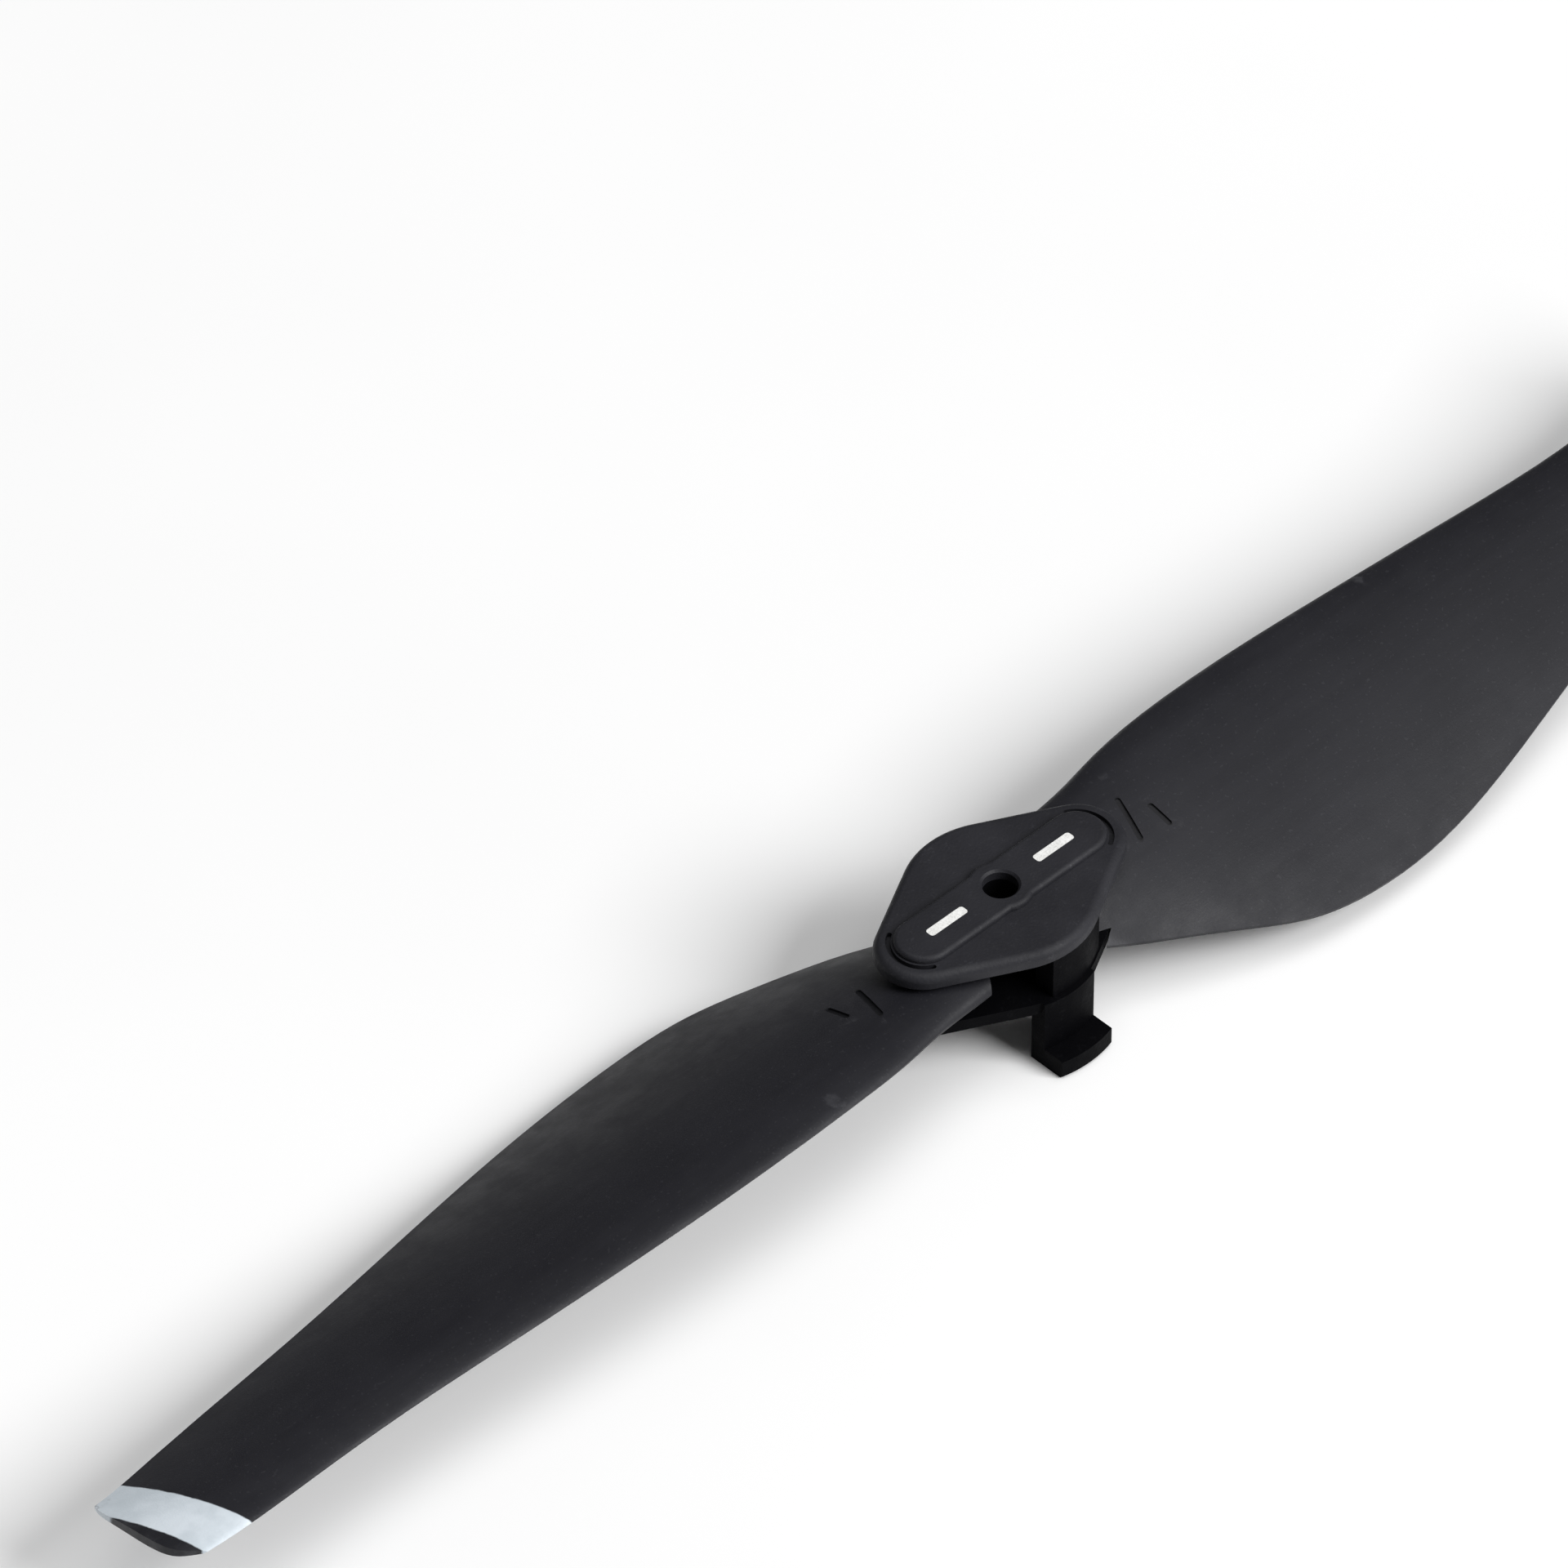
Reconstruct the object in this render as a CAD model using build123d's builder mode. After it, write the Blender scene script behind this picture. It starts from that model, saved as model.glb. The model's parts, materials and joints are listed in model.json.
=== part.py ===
from build123d import *
from math import acos, cos, degrees, pi, radians, sin, sqrt
import os

# Folding two-blade quick-release propeller, anticlockwise seen from above.
# Millimetres. Z is the spin axis, up. X runs along the deployed blades.
# The origin is on the spin axis, on the seat face under the hub.

# ---------------------------------------------------------------- dimensions
TIP_R = 67.6            # spin radius, 5.3 in class
PIVOT_R = 6.2           # spin axis to each blade hinge
HUB_R = 5.7             # middle of the hub outline
LOBE_R = 2.8            # rounded hub ends, about the hinges

BASE_T = 0.9            # lower hub plate
SLOT_TOP = 3.90         # underside of the cover
COVER_T = 0.92          # cover skin
SPINE_T = 0.40          # raised spine on the cover
SPINE_W = 3.5
SPINE_BOSS_R = 1.95     # round boss about the centre hole
TOP = SLOT_TOP + COVER_T + SPINE_T

SHAFT_R = 1.05          # centre hole
CORE_R = 1.7            # post between the two plates
SPIGOT_R = 1.42         # end of the post, inside the cover
SPIGOT_TOP = 4.50
SPIGOT_FIT = 0.02

PIN_R = 0.80
PIN_TOP = 4.68
PIN_HEAD_R = 1.35
PIN_HEAD_T = 0.40
PIN_HOLE_R = 0.81       # press hole in the two plates
EYE_BORE_R = 0.84       # running hole in the blade
EYE_R = 2.15
EYE_Z0, EYE_Z1 = 1.12, 3.60
WASHER_R = 2.05
WASHER_BORE_R = 0.86
WASHER_T = 0.17
UPPER_WASHER_T = 0.23
WASHER_GAP = 0.03

MARK_L, MARK_W, MARK_D = 2.9, 0.64, 0.30
MARK_X = 4.25
MARK_FIT = 0.01

CLAW_IN, CLAW_OUT = 5.0, 5.95       # radii of the claw's leg
FOOT_OUT = 7.35                     # radius of the claw's foot
CLAW_HALF = 1.98
CLAW_Z, FOOT_T = -3.95, 1.30

FOLD_MAX = 85.0         # degrees, leading edge first

# Blade stations: x, leading edge (y, z), trailing edge (y, z), thickness,
# camber as a share of the chord.
STATIONS = [
    (2.4,   4.06,  2.76, -3.60,  0.62, 1.90, 0.048),
    (5.0,   4.15,  2.88, -4.80,  0.20, 1.90, 0.048),
    (7.4,   4.32,  2.97, -6.05, -0.10, 1.85, 0.048),
    (9.6,   4.56,  3.06, -7.05, -0.44, 1.75, 0.047),
    (12.2,  5.00,  3.20, -8.22, -0.94, 1.64, 0.046),
    (15.5,  5.34,  3.36, -9.49, -1.60, 1.54, 0.047),
    (20.0,  5.51,  3.37, -10.14, -2.16, 1.44, 0.048),
    (26.0,  5.48,  3.22, -9.96, -2.24, 1.34, 0.048),
    (33.0,  5.23,  2.98, -8.79, -1.45, 1.20, 0.047),
    (41.0,  4.84,  2.76, -6.96, -0.20, 1.04, 0.046),
    (50.0,  4.44,  2.62, -5.12,  0.86, 0.88, 0.044),
    (57.0,  4.66,  2.88, -3.95,  1.55, 0.76, 0.042),
    (62.5,  5.12,  3.42, -2.98,  2.10, 0.66, 0.040),
    (68.0,  5.18,  3.98, -2.15,  2.66, 0.54, 0.036),
]
EDGE_T = 0.26           # thickness of the trailing edge

# Sunk ticks on the root: middle (x, y, z), half length, lean of x on y, rise
# of z on y, depth at the middle.
TICKS = [
    (10.45,  0.05, 3.175, 1.35,  0.30, 0.255, 0.17),
    (12.15, -0.75, 2.920, 0.70, -0.06, 0.306, 0.14),
]
TICK_W = 0.36


# ------------------------------------------------------------------- helpers
def hub_outline(grow):
    """Outline of the hub: a disc between two smaller discs, joined by
    tangent lines, grown outwards by a margin."""
    a = acos((HUB_R - LOBE_R) / PIVOT_R)
    rb, rl = HUB_R + grow, LOBE_R + grow
    bx, by = rb * cos(a), rb * sin(a)
    lx, ly = PIVOT_R + rl * cos(a), rl * sin(a)
    ex = PIVOT_R + rl
    with BuildSketch() as s:
        with BuildLine():
            Line((bx, by), (lx, ly))
            ThreePointArc((lx, ly), (ex, 0), (lx, -ly))
            Line((lx, -ly), (bx, -by))
            ThreePointArc((bx, -by), (0, -rb), (-bx, -by))
            Line((-bx, -by), (-lx, -ly))
            ThreePointArc((-lx, -ly), (-ex, 0), (-lx, ly))
            Line((-lx, ly), (-bx, by))
            ThreePointArc((-bx, by), (0, rb), (bx, by))
        make_face()
    return s.sketch


def blade_section(x, le_y, le_z, te_y, te_z, t, camber):
    """Cambered aerofoil across the blade at one station."""
    dy, dz = te_y - le_y, te_z - le_z
    c = sqrt(dy * dy + dz * dz)
    uy, uz = dy / c, dz / c
    ny, nz = -uz, uy
    if nz < 0:
        ny, nz = -ny, -nz
    steps = (0.012, 0.045, 0.11, 0.21, 0.34, 0.49, 0.65, 0.82, 1.0)

    def point(s, side):
        half = 5 * t * (0.2969 * sqrt(s) - 0.1260 * s - 0.3516 * s ** 2
                        + 0.2843 * s ** 3 - 0.1015 * s ** 4)
        half += 0.5 * EDGE_T * s - 5 * t * 0.0021 * s
        mean = 4 * camber * c * s * (1 - s)
        off = mean + side * half
        return (le_y + uy * c * s + ny * off, le_z + uz * c * s + nz * off)

    nose = (le_y, le_z)
    upper = [nose] + [point(s, 1) for s in steps]
    lower = [nose] + [point(s, -1) for s in steps]
    with BuildSketch(Plane.YZ.offset(x)) as s:
        with BuildLine():
            Spline(*upper)
            Line(upper[-1], lower[-1])
            Spline(*reversed(lower))
        make_face()
    return s.sketch


os.makedirs("parts", exist_ok=True)

# ---------------------------------------------------------------- hub cover
with BuildPart() as hub_cover:
    with BuildSketch(Plane.XY.offset(SLOT_TOP)):
        add(hub_outline(0))
    extrude(amount=COVER_T)
    rim = hub_cover.faces().sort_by(Axis.Z)[-1].edges()
    fillet(rim, radius=0.50)
    # raised spine over the two hinges, with a boss about the centre hole
    with BuildSketch(Plane.XY.offset(SLOT_TOP + COVER_T)):
        SlotCenterToCenter(2 * 6.1, SPINE_W)
        Circle(SPINE_BOSS_R)
    extrude(amount=SPINE_T)
    fillet(hub_cover.faces().sort_by(Axis.Z)[-1].edges(), radius=0.28)
    # arc grooves round the ends of the spine
    with BuildSketch(Plane.XY.offset(SLOT_TOP + COVER_T)):
        SlotArc(arc=CenterArc((6.1, 0), 2.02, -62, 124), height=0.30)
        SlotArc(arc=CenterArc((-6.1, 0), 2.02, 118, 124), height=0.30)
    extrude(amount=-0.30, mode=Mode.SUBTRACT)
    # index mark grooves
    with BuildSketch(Plane.XY.offset(TOP)):
        with Locations((MARK_X, 0), (-MARK_X, 0)):
            RectangleRounded(MARK_L, MARK_W, 0.2)
    extrude(amount=-MARK_D, mode=Mode.SUBTRACT)
    # centre hole and the socket for the post's spigot
    with BuildSketch(Plane.XY.offset(SLOT_TOP)):
        Circle(SHAFT_R)
    extrude(amount=TOP - SLOT_TOP, mode=Mode.SUBTRACT)
    with BuildSketch(Plane.XY.offset(SLOT_TOP)):
        Circle(SPIGOT_R + SPIGOT_FIT)
    extrude(amount=SPIGOT_TOP - SLOT_TOP + 0.05, mode=Mode.SUBTRACT)
    chamfer(hub_cover.faces().sort_by(Axis.Z)[-1].edges()
            .filter_by(GeomType.CIRCLE)
            .filter_by(lambda e: abs(e.radius - SHAFT_R) < 0.01), length=0.14)
    # blind holes for the hinge pins
    with BuildSketch(Plane.XY.offset(SLOT_TOP)):
        with Locations((PIVOT_R, 0), (-PIVOT_R, 0)):
            Circle(PIN_HOLE_R)
    extrude(amount=PIN_TOP - SLOT_TOP + 0.04, mode=Mode.SUBTRACT)
hub_cover.part.label = "hub_cover"
export_step(hub_cover.part, "parts/hub_cover.step")

# ----------------------------------------------------------------- hub base
with BuildPart() as hub_base:
    with BuildSketch(Plane.XY):
        add(hub_outline(0))
    extrude(amount=BASE_T)
    chamfer(hub_base.faces().sort_by(Axis.Z)[0].edges(), length=0.10)
    # post and spigot on the spin axis
    with BuildSketch(Plane.XY.offset(BASE_T)):
        Circle(CORE_R)
    extrude(amount=SLOT_TOP - BASE_T)
    with BuildSketch(Plane.XY.offset(SLOT_TOP)):
        Circle(SPIGOT_R)
    extrude(amount=SPIGOT_TOP - SLOT_TOP)
    # side walls between the two blade slots
    with BuildSketch(Plane.XY.offset(BASE_T)):
        add(hub_outline(-0.10))
        with Locations((1.1, -5.2), (-1.1, 5.2)):
            Rectangle(4.6, 2.2, mode=Mode.INTERSECT)
    extrude(amount=SLOT_TOP - BASE_T)
    # two bayonet claws, each a leg with an outward foot
    with BuildSketch(Plane.XY.offset(CLAW_Z)):
        Circle(CLAW_OUT)
        Circle(CLAW_IN, mode=Mode.SUBTRACT)
        Rectangle(2 * CLAW_HALF, 20, mode=Mode.INTERSECT)
    extrude(amount=BASE_T - CLAW_Z)
    with BuildSketch(Plane.XY.offset(CLAW_Z)):
        Circle(FOOT_OUT)
        Circle(CLAW_IN, mode=Mode.SUBTRACT)
        Rectangle(2 * CLAW_HALF, 20, mode=Mode.INTERSECT)
    extrude(amount=FOOT_T)
    # rounded lower outside edges on the feet
    toes = (hub_base.faces().sort_by(Axis.Z)[0:2].edges()
            .filter_by(GeomType.CIRCLE)
            .filter_by(lambda e: abs(e.radius - FOOT_OUT) < 0.01))
    chamfer(toes, length=0.16)
    # shallow ring groove round the centre hole, in the seat face
    with BuildSketch(Plane.XY):
        Circle(3.15)
        Circle(2.55, mode=Mode.SUBTRACT)
    extrude(amount=0.25, mode=Mode.SUBTRACT)
    # centre hole
    with BuildSketch(Plane.XY.offset(-0.01)):
        Circle(SHAFT_R)
    extrude(amount=SPIGOT_TOP + 0.02, mode=Mode.SUBTRACT)
    # pin holes with pockets for the pin heads
    with BuildSketch(Plane.XY):
        with Locations((PIVOT_R, 0), (-PIVOT_R, 0)):
            Circle(PIN_HOLE_R)
    extrude(amount=BASE_T, mode=Mode.SUBTRACT)
    with BuildSketch(Plane.XY):
        with Locations((PIVOT_R, 0), (-PIVOT_R, 0)):
            Circle(PIN_HEAD_R + 0.05)
    extrude(amount=PIN_HEAD_T + 0.06, mode=Mode.SUBTRACT)
hub_base.part.label = "hub_base"
export_step(hub_base.part, "parts/hub_base.step")

# ------------------------------------------------------------------ blade A
with BuildPart() as blade_a:
    for st in STATIONS:
        add(blade_section(*st))
    loft()
    # plan outline: root shoulders and the rounded tip
    with BuildSketch(Plane.XY.offset(-8)):
        with BuildLine():
            Polyline((62.6, 7.0), (20.0, 8.5), (10.0, 6.6), (5.6, 5.4),
                     (4.85, 4.25), (4.35, 3.55), (3.35, 2.35))
            ThreePointArc((3.35, 2.35), (2.65, 0.0), (3.10, -2.0))
            Polyline((3.10, -2.0), (4.02, -4.12), (4.30, -4.48), (7.6, -6.30),
                     (20.0, -12.5), (62.6, -5.6))
            Spline((62.6, -5.6), (65.9, -3.9), (66.95, -2.75), (67.40, -1.8),
                   (67.54, -0.3), (TIP_R - 0.02, 1.4), (67.50, 3.0),
                   (67.15, 4.1), (66.35, 4.85), (64.8, 5.85), (62.6, 7.0))
        make_face()
    extrude(amount=20, mode=Mode.INTERSECT)
    # hinge eye
    with BuildSketch(Plane.XY.offset(EYE_Z0)):
        with Locations((PIVOT_R, 0)):
            Circle(EYE_R)
    extrude(amount=EYE_Z1 - EYE_Z0)
    # room for the lower plate and the cover
    with BuildSketch(Plane.XY.offset(-8)):
        add(hub_outline(0.14))
    extrude(amount=8 + BASE_T + 0.12, mode=Mode.SUBTRACT)
    with BuildSketch(Plane.XY.offset(EYE_Z1 + 0.10)):
        with Locations((PIVOT_R, 0)):
            Circle(8.6)
        with Locations((12.2 + 5, 0)):
            Rectangle(10, 20, mode=Mode.SUBTRACT)
    extrude(amount=3, mode=Mode.SUBTRACT)
    # flat seats for the washers
    with BuildSketch(Plane.XY.offset(-8)):
        with Locations((PIVOT_R, 0)):
            Circle(EYE_R + 0.05)
    extrude(amount=8 + EYE_Z0, mode=Mode.SUBTRACT)
    with BuildSketch(Plane.XY.offset(EYE_Z1)):
        with Locations((PIVOT_R, 0)):
            Circle(EYE_R + 0.05)
    extrude(amount=3, mode=Mode.SUBTRACT)
    # running hole for the pin
    with BuildSketch(Plane.XY.offset(-8)):
        with Locations((PIVOT_R, 0)):
            Circle(EYE_BORE_R)
    extrude(amount=16, mode=Mode.SUBTRACT)
    # sunk ticks on the upper side of the root
    for tx, ty, tz, half, lean, rise, deep in TICKS:
        face = Plane(origin=(tx, ty, tz), x_dir=(lean, 1, rise),
                     z_dir=(0, -rise, 1))
        with BuildSketch(face.offset(0.5)):
            SlotCenterToCenter(2 * half, TICK_W)
        extrude(amount=-0.5 - deep, mode=Mode.SUBTRACT)
blade_a.part.label = "blade_a"
export_step(blade_a.part, "parts/blade_a.step")

# ------------------------------------------------------------------ blade B
with BuildPart() as blade_b:
    add(blade_a.part, rotation=(0, 0, 180))
blade_b.part.label = "blade_b"
export_step(blade_b.part, "parts/blade_b.step")

# ---------------------------------------------------- hinge pins and washers
with BuildPart() as hinge_pin_a:
    with BuildSketch(Plane.XY.offset(0.03)):
        with Locations((PIVOT_R, 0)):
            Circle(PIN_HEAD_R)
    extrude(amount=PIN_HEAD_T)
    chamfer(hinge_pin_a.faces().sort_by(Axis.Z)[0].edges(), length=0.08)
    with BuildSketch(Plane.XY.offset(0.03 + PIN_HEAD_T)):
        with Locations((PIVOT_R, 0)):
            Circle(PIN_R)
    extrude(amount=PIN_TOP - 0.03 - PIN_HEAD_T)
    chamfer(hinge_pin_a.faces().sort_by(Axis.Z)[-1].edges(), length=0.15)
hinge_pin_a.part.label = "hinge_pin_a"
export_step(hinge_pin_a.part, "parts/hinge_pin_a.step")

with BuildPart() as hinge_pin_b:
    add(hinge_pin_a.part, rotation=(0, 0, 180))
hinge_pin_b.part.label = "hinge_pin_b"
export_step(hinge_pin_b.part, "parts/hinge_pin_b.step")

with BuildPart() as lower_washer_a:
    with BuildSketch(Plane.XY.offset(BASE_T + WASHER_GAP)):
        with Locations((PIVOT_R, 0)):
            Circle(WASHER_R)
            Circle(WASHER_BORE_R, mode=Mode.SUBTRACT)
    extrude(amount=WASHER_T - 0.01)
lower_washer_a.part.label = "lower_washer_a"
export_step(lower_washer_a.part, "parts/lower_washer_a.step")

with BuildPart() as lower_washer_b:
    add(lower_washer_a.part, rotation=(0, 0, 180))
lower_washer_b.part.label = "lower_washer_b"
export_step(lower_washer_b.part, "parts/lower_washer_b.step")

with BuildPart() as upper_washer_a:
    with BuildSketch(Plane.XY.offset(EYE_Z1 + WASHER_GAP)):
        with Locations((PIVOT_R, 0)):
            Circle(WASHER_R)
            Circle(WASHER_BORE_R, mode=Mode.SUBTRACT)
    extrude(amount=UPPER_WASHER_T)
upper_washer_a.part.label = "upper_washer_a"
export_step(upper_washer_a.part, "parts/upper_washer_a.step")

with BuildPart() as upper_washer_b:
    add(upper_washer_a.part, rotation=(0, 0, 180))
upper_washer_b.part.label = "upper_washer_b"
export_step(upper_washer_b.part, "parts/upper_washer_b.step")

# -------------------------------------------------------- index mark inlays
with BuildPart() as index_mark_a:
    with BuildSketch(Plane.XY.offset(TOP - MARK_D + 0.005)):
        with Locations((MARK_X, 0)):
            RectangleRounded(MARK_L - 2 * MARK_FIT, MARK_W - 2 * MARK_FIT, 0.19)
    extrude(amount=MARK_D - 0.02)
index_mark_a.part.label = "index_mark_a"
export_step(index_mark_a.part, "parts/index_mark_a.step")

with BuildPart() as index_mark_b:
    add(index_mark_a.part, rotation=(0, 0, 180))
index_mark_b.part.label = "index_mark_b"
export_step(index_mark_b.part, "parts/index_mark_b.step")
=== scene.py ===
import json
import math

import bpy
from mathutils import Matrix, Vector


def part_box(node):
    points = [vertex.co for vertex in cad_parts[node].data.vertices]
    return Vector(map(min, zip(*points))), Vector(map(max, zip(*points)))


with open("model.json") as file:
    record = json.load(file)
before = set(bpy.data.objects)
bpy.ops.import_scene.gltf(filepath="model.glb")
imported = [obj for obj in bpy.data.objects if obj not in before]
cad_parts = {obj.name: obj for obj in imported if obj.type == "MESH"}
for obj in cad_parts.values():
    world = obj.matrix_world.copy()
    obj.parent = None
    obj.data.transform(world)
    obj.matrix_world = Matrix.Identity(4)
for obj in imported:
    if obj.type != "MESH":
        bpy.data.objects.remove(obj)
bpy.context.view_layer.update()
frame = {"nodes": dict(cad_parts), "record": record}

MM = 0.001


# ------------------------------------------------------------- node helpers
class Nodes:
    """Small helper that builds a node tree."""

    def __init__(self, name):
        self.m = bpy.data.materials.new(name)
        self.m.use_nodes = True
        self.t = self.m.node_tree
        self.t.nodes.clear()
        self.out = self.t.nodes.new("ShaderNodeOutputMaterial")
        self.bsdf = self.t.nodes.new("ShaderNodeBsdfPrincipled")
        self.link(self.bsdf.outputs[0], self.out.inputs["Surface"])
        self.coord = self.t.nodes.new("ShaderNodeTexCoord").outputs["Object"]

    def link(self, a, b):
        self.t.links.new(a, b)

    def put(self, socket, value):
        if isinstance(value, bpy.types.NodeSocket):
            self.link(value, socket)
        else:
            socket.default_value = value

    def noise(self, scale, detail=4.0, rough=0.55, vector=None, distortion=0.0):
        n = self.t.nodes.new("ShaderNodeTexNoise")
        n.inputs["Scale"].default_value = scale
        n.inputs["Detail"].default_value = detail
        n.inputs["Roughness"].default_value = rough
        n.inputs["Distortion"].default_value = distortion
        self.link(vector or self.coord, n.inputs["Vector"])
        return n.outputs["Fac"]

    def voronoi(self, scale, vector=None, feature="F1"):
        n = self.t.nodes.new("ShaderNodeTexVoronoi")
        n.feature = feature
        n.inputs["Scale"].default_value = scale
        self.link(vector or self.coord, n.inputs["Vector"])
        return n.outputs["Distance"]

    def scaled(self, x, y, z, vector=None):
        n = self.t.nodes.new("ShaderNodeMapping")
        n.inputs["Scale"].default_value = (x, y, z)
        self.link(vector or self.coord, n.inputs["Vector"])
        return n.outputs["Vector"]

    def math(self, op, a, b=0.0, c=0.0, clamp=False):
        n = self.t.nodes.new("ShaderNodeMath")
        n.operation = op
        n.use_clamp = clamp
        self.put(n.inputs[0], a)
        self.put(n.inputs[1], b)
        self.put(n.inputs[2], c)
        return n.outputs[0]

    def ramp(self, value, lo, hi, out_lo=0.0, out_hi=1.0, smooth=True):
        n = self.t.nodes.new("ShaderNodeMapRange")
        n.interpolation_type = "SMOOTHSTEP" if smooth else "LINEAR"
        n.clamp = True
        self.put(n.inputs["Value"], value)
        n.inputs["From Min"].default_value = lo
        n.inputs["From Max"].default_value = hi
        n.inputs["To Min"].default_value = out_lo
        n.inputs["To Max"].default_value = out_hi
        return n.outputs["Result"]

    def mix(self, fac, a, b):
        n = self.t.nodes.new("ShaderNodeMix")
        n.data_type = "RGBA"
        self.put(n.inputs[0], fac)
        self.put(n.inputs[6], a)
        self.put(n.inputs[7], b)
        return n.outputs[2]

    def xyz(self, vector=None):
        n = self.t.nodes.new("ShaderNodeSeparateXYZ")
        self.link(vector or self.coord, n.inputs[0])
        return n.outputs

    def pointiness(self):
        n = self.t.nodes.new("ShaderNodeNewGeometry")
        return n.outputs["Pointiness"]

    def bump(self, *layers):
        """layers: (height, distance in metres, strength)"""
        normal = None
        for height, distance, strength in layers:
            n = self.t.nodes.new("ShaderNodeBump")
            n.inputs["Strength"].default_value = strength
            n.inputs["Distance"].default_value = distance
            self.link(height, n.inputs["Height"])
            if normal is not None:
                self.link(normal, n.inputs["Normal"])
            normal = n.outputs["Normal"]
        self.link(normal, self.bsdf.inputs["Normal"])


def rgb(r, g, b):
    """Linear colour from 0..255 sRGB."""
    def lin(c):
        c /= 255.0
        return c / 12.92 if c <= 0.04045 else ((c + 0.055) / 1.055) ** 2.4
    return (lin(r), lin(g), lin(b), 1.0)


# ---------------------------------------------------------------- materials
def blade_material():
    n = Nodes("blade_moulded_nylon")
    x, y, z = n.xyz()
    # fibre flow streaks along the blade, cloudy tone, and a fine spark grain
    flow = n.noise(900, 5, 0.6, n.scaled(0.10, 1.0, 1.0))
    cloud = n.noise(120, 3, 0.5)
    grain = n.noise(9000, 2, 0.6)
    tone = n.math("ADD", n.math("MULTIPLY", flow, 0.45), n.math("MULTIPLY", cloud, 0.55))
    body = n.mix(n.ramp(tone, 0.30, 0.70), rgb(26, 26, 31), rgb(33, 33, 38))
    speck = n.ramp(n.noise(5200, 1, 0.4), 0.66, 0.74)
    body = n.mix(n.math("MULTIPLY", speck, 0.30), body, rgb(58, 58, 62))
    # painted shade darkening the two ticks sunk in each root, on the top side only
    side = n.math("SIGN", x)
    tx, ty = n.math("ABSOLUTE", x), n.math("MULTIPLY", y, side)
    tick_shade = None
    for cx, cy, hl, lean in ((10.45, 0.05, 1.35, 0.30), (12.15, -0.75, 0.70, -0.06)):
        dx = n.math("SUBTRACT", n.math("SUBTRACT", tx, cx * MM),
                    n.math("MULTIPLY", n.math("SUBTRACT", ty, cy * MM), lean))
        dy = n.math("MAXIMUM", n.math("SUBTRACT", n.math("ABSOLUTE", n.math("SUBTRACT", ty, cy * MM)), hl * MM), 0.0)
        d = n.math("SQRT", n.math("ADD", n.math("MULTIPLY", dx, dx), n.math("MULTIPLY", dy, dy)))
        t = n.ramp(d, 0.13 * MM, 0.24 * MM, 1.0, 0.0)
        tick_shade = t if tick_shade is None else n.math("MAXIMUM", tick_shade, t)
    up = n.ramp(z, 1.95 * MM, 2.15 * MM)
    tick_shade = n.math("MULTIPLY", tick_shade, up)
    # painted shade: the tick recesses are mixed most of the way to near-black
    body = n.mix(n.math("MULTIPLY", tick_shade, 0.75), body, rgb(14, 14, 17))
    # edges rubbed a little lighter
    edge = n.ramp(n.pointiness(), 0.53, 0.60)
    wear = n.math("MULTIPLY", edge, n.ramp(n.noise(700, 4, 0.6), 0.42, 0.66))
    body = n.mix(n.math("MULTIPLY", wear, 0.45), body, rgb(72, 72, 76))
    # printed band near the tip, and the bare corner beyond it
    ragged = n.math("MULTIPLY", n.math("SUBTRACT", n.noise(1600, 3, 0.6), 0.5), 0.00014)
    s1 = n.math("ADD", n.math("ABSOLUTE", n.math("ADD", x, n.math("MULTIPLY", y, 0.35))), ragged)
    s2 = n.math("ADD", n.math("ABSOLUTE", n.math("ADD", x, n.math("MULTIPLY", y, 0.27))), ragged)
    inner = n.ramp(s1, 0.06412, 0.06422, smooth=False)
    outer = n.ramp(s2, 0.06732, 0.06742, 1.0, 0.0, smooth=False)
    band = n.math("MULTIPLY", inner, outer)
    paint = n.mix(n.ramp(n.noise(260, 4, 0.6), 0.35, 0.68), rgb(196, 205, 212), rgb(216, 224, 231))
    worn = n.math("MULTIPLY", n.ramp(n.pointiness(), 0.56, 0.64), n.ramp(n.noise(1900, 4, 0.65), 0.50, 0.62))
    band = n.math("MULTIPLY", band, n.math("SUBTRACT", 1.0, n.math("MULTIPLY", worn, 0.8)))
    n.link(n.mix(band, body, paint), n.bsdf.inputs["Base Color"])
    rough = n.math("ADD", n.ramp(n.noise(420, 4, 0.6), 0.3, 0.7, 0.46, 0.58),
                   n.math("MULTIPLY", n.math("SUBTRACT", grain, 0.5), 0.10))
    rough = n.math("SUBTRACT", rough, n.math("MULTIPLY", edge, 0.08))
    rough = n.math("SUBTRACT", rough, n.math("MULTIPLY", band, 0.10))
    n.link(rough, n.bsdf.inputs["Roughness"])
    n.bsdf.inputs["Specular IOR Level"].default_value = 0.27
    n.bsdf.inputs["IOR"].default_value = 1.5
    n.bump((flow, 0.00004, 0.35), (grain, 0.000012, 0.6), (band, 0.00002, 0.5))
    return n.m


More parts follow.
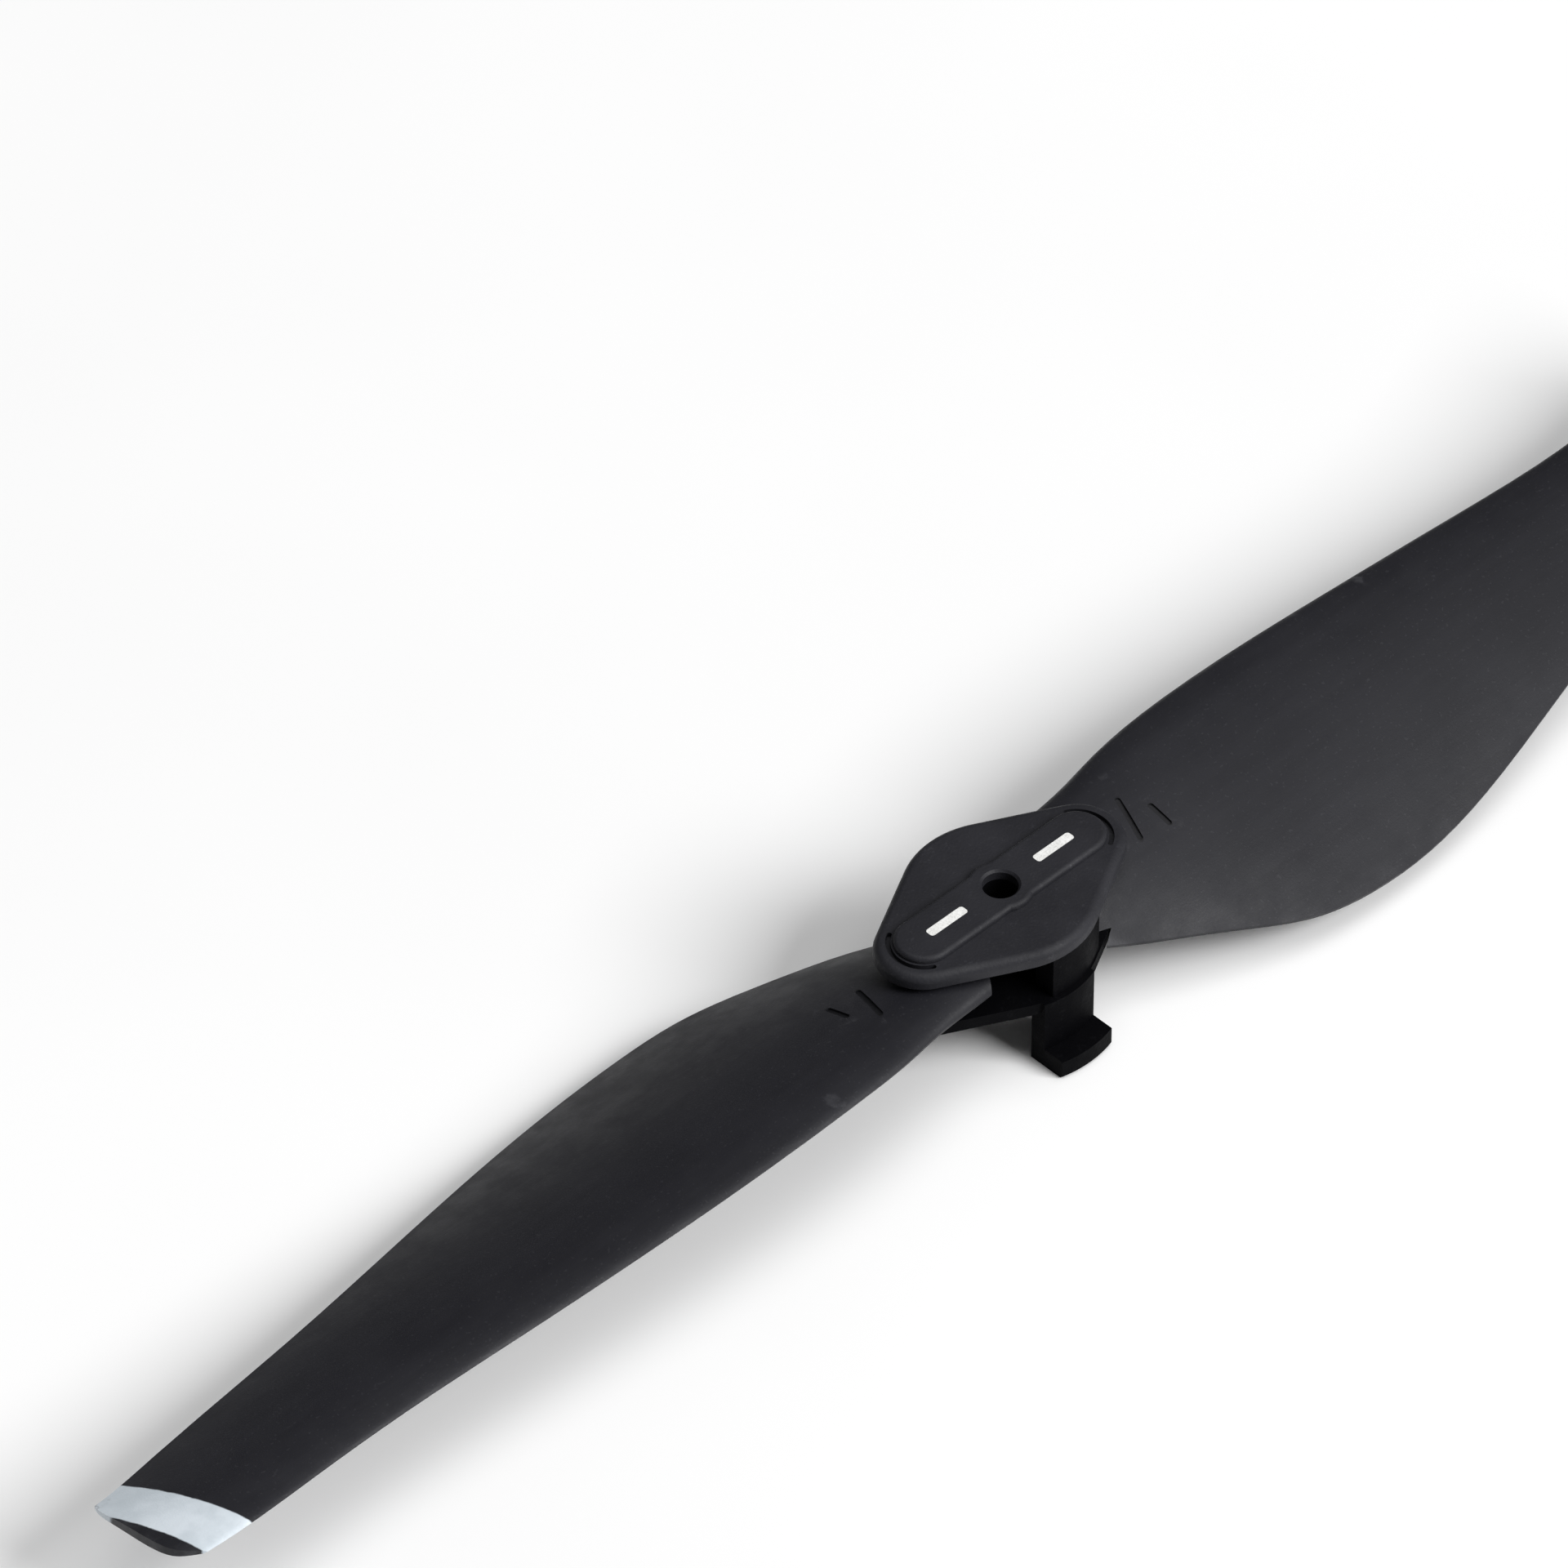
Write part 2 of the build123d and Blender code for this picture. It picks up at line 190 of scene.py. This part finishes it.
def hub_material(name, lo, hi, fleck, rub, gloss):
    n = Nodes(name)
    cloud = n.noise(180, 3, 0.5)
    pits = n.voronoi(5200)
    grain = n.noise(6500, 3, 0.65)
    body = n.mix(n.ramp(cloud, 0.32, 0.68), rgb(*lo), rgb(*hi))
    body = n.mix(n.math("MULTIPLY", n.ramp(grain, 0.55, 0.75), 0.30), body, rgb(*fleck))
    # scuffs where a thumb presses the hub down
    scuff = n.math("MULTIPLY", n.ramp(n.noise(1500, 4, 0.6), 0.52, 0.68),
                   n.ramp(n.noise(5200, 3, 0.6), 0.48, 0.62))
    body = n.mix(n.math("MULTIPLY", scuff, 0.22), body, rgb(*rub))
    n.link(body, n.bsdf.inputs["Base Color"])
    rough = n.math("ADD", n.ramp(n.noise(600, 4, 0.6), 0.3, 0.7, 0.54, 0.68),
                   n.math("MULTIPLY", n.math("SUBTRACT", grain, 0.5), 0.12))
    rough = n.math("SUBTRACT", rough, n.math("MULTIPLY", scuff, 0.08))
    n.link(rough, n.bsdf.inputs["Roughness"])
    n.bsdf.inputs["Specular IOR Level"].default_value = gloss
    n.bump((pits, 0.00003, 0.25), (grain, 0.000016, 0.7))
    return n.m


def steel_material():
    n = Nodes("turned_steel")
    x, y, z = n.xyz()
    ax = n.math("SUBTRACT", n.math("ABSOLUTE", x), 6.2 * MM)
    r = n.math("SQRT", n.math("ADD", n.math("MULTIPLY", ax, ax), n.math("MULTIPLY", y, y)))
    rings = n.t.nodes.new("ShaderNodeCombineXYZ")
    n.link(n.math("MULTIPLY", r, 1.0), rings.inputs[0])
    n.link(n.math("MULTIPLY", z, 1.0), rings.inputs[1])
    turned = n.noise(26000, 3, 0.6, rings.outputs[0])
    stain = n.noise(900, 4, 0.6)
    body = n.mix(n.ramp(turned, 0.3, 0.7), rgb(150, 150, 152), rgb(188, 188, 190))
    body = n.mix(n.math("MULTIPLY", n.ramp(stain, 0.5, 0.7), 0.3), body, rgb(110, 108, 106))
    n.link(body, n.bsdf.inputs["Base Color"])
    n.bsdf.inputs["Metallic"].default_value = 1.0
    n.link(n.math("ADD", n.ramp(stain, 0.3, 0.7, 0.24, 0.42), n.math("MULTIPLY", turned, 0.08)),
           n.bsdf.inputs["Roughness"])
    n.bump((turned, 0.000008, 0.5),)
    return n.m


def washer_material():
    n = Nodes("washer_film")
    mottle = n.noise(1500, 4, 0.6)
    scuff = n.noise(7000, 3, 0.6, n.scaled(1.0, 0.2, 1.0))
    body = n.mix(n.ramp(mottle, 0.3, 0.7), rgb(46, 46, 50), rgb(62, 62, 66))
    body = n.mix(n.math("MULTIPLY", n.ramp(scuff, 0.58, 0.7), 0.4), body, rgb(96, 96, 98))
    n.link(body, n.bsdf.inputs["Base Color"])
    n.link(n.ramp(scuff, 0.3, 0.7, 0.30, 0.48), n.bsdf.inputs["Roughness"])
    n.bump((scuff, 0.00001, 0.5),)
    return n.m


def mark_material():
    n = Nodes("mark_white_fill")
    mottle = n.noise(1400, 4, 0.6)
    grain = n.noise(9000, 3, 0.6)
    body = n.mix(n.ramp(mottle, 0.3, 0.7), rgb(236, 236, 233), rgb(250, 250, 248))
    soil = n.math("MULTIPLY", n.ramp(n.pointiness(), 0.52, 0.60), n.ramp(grain, 0.45, 0.62))
    body = n.mix(n.math("MULTIPLY", soil, 0.35), body, rgb(168, 168, 166))
    n.link(body, n.bsdf.inputs["Base Color"])
    n.link(n.ramp(grain, 0.3, 0.7, 0.42, 0.56), n.bsdf.inputs["Roughness"])
    n.bump((grain, 0.000014, 0.6),)
    return n.m


def floor_material():
    n = Nodes("pale_floor")
    mottle = n.noise(14, 3, 0.5)
    n.link(n.mix(n.ramp(mottle, 0.3, 0.7), rgb(250, 250, 250), rgb(253, 253, 253)), n.bsdf.inputs["Base Color"])
    n.bsdf.inputs["Roughness"].default_value = 0.9
    n.bsdf.inputs["Specular IOR Level"].default_value = 0.1
    return n.m


BLADE = blade_material()
COVER = hub_material("hub_cover_spark_eroded", (28, 28, 33), (37, 37, 42), (50, 50, 55), (70, 70, 75), 0.30)
# painted shade: the hub base gets a near-black, almost glossless copy of the hub plastic, darkened for the shade it
# sits in under the cover
HUB_BASE_PAINTED_SHADE = hub_material("hub_base_spark_eroded_painted_shade", (6, 6, 8), (10, 10, 12), (16, 16, 19), (30, 30, 33), 0.03)
STEEL = steel_material()
WASHER = washer_material()
MARK = mark_material()

FINISH = {"blade_plastic": BLADE, "hub_plastic": COVER, "pin_steel": STEEL,
          "washer_plastic": WASHER, "mark_white": MARK}
SLOT = {p["node"]: p["material_slot"] for p in frame["record"]["subparts"]}

for name, obj in frame["nodes"].items():
    # painted shade: the hub base takes the darkened copy instead of the hub plastic it shares with the cover
    material = HUB_BASE_PAINTED_SHADE if name == "hub_base" else FINISH[SLOT[name]]
    if not obj.material_slots:
        obj.data.materials.append(material)
    for s in obj.material_slots:
        s.material = material

# -------------------------------------------------------------------- floor
low = min(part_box(n)[0].z for n in frame["nodes"])
bpy.ops.mesh.primitive_plane_add(size=6.0, location=(0, 0, low - 0.00002))
floor = bpy.context.object
floor.name = "floor"
floor.data.materials.append(floor_material())

# ------------------------------------------------------------------- camera
E = math.radians(44.453)
A = math.radians(44.345)
DIST = 812.3 * MM
ahead = Vector((math.sin(A), math.cos(A), 0))
view = ahead * math.cos(E) - Vector((0, 0, 1)) * math.sin(E)
target = Vector((-0.534, 16.928, 1.6)) * MM
cam_data = bpy.data.cameras.new("camera")
cam_data.sensor_width = 36.0
cam_data.lens = 21.3949 * 812.3 / 1920 * 36.0
cam_data.clip_start = 0.01
cam_data.clip_end = 50.0
camera = bpy.data.objects.new("camera", cam_data)
bpy.context.scene.collection.objects.link(camera)
camera.location = target - view * DIST
right = Vector((math.cos(A), -math.sin(A), 0))
up = right.cross(view).normalized()
camera.matrix_world = Matrix.Translation(camera.location) @ Matrix((
    (right.x, up.x, -view.x), (right.y, up.y, -view.y), (right.z, up.z, -view.z))).to_4x4()
bpy.context.scene.camera = camera


# ------------------------------------------------------------------- lights
def area(name, where, aim, size, power, size_y=None):
    data = bpy.data.lights.new(name, "AREA")
    data.shape = "RECTANGLE"
    data.size = size
    data.size_y = size_y or size
    data.energy = power
    light = bpy.data.objects.new(name, data)
    bpy.context.scene.collection.objects.link(light)
    light.location = where
    light.rotation_euler = (Vector(aim) - Vector(where)).to_track_quat("-Z", "Y").to_euler()
    return light


def along(r, h, z):
    """A point from its distance right of the camera's line, behind the object and up."""
    return right * r + ahead * h + Vector((0, 0, z))


area("top_softbox", along(0.30, 0.00, 2.30), (0, 0, 0), 1.8, 24.0)
area("right_softbox", along(1.70, -0.72, 1.40), (0, 0, 0), 1.2, 54.0)

world = bpy.data.worlds.new("studio")
world.use_nodes = True
world.node_tree.nodes["Background"].inputs[0].default_value = (1.0, 1.0, 1.0, 1.0)
world.node_tree.nodes["Background"].inputs[1].default_value = 0.10
bpy.context.scene.world = world
bpy.context.scene.view_settings.view_transform = "Standard"
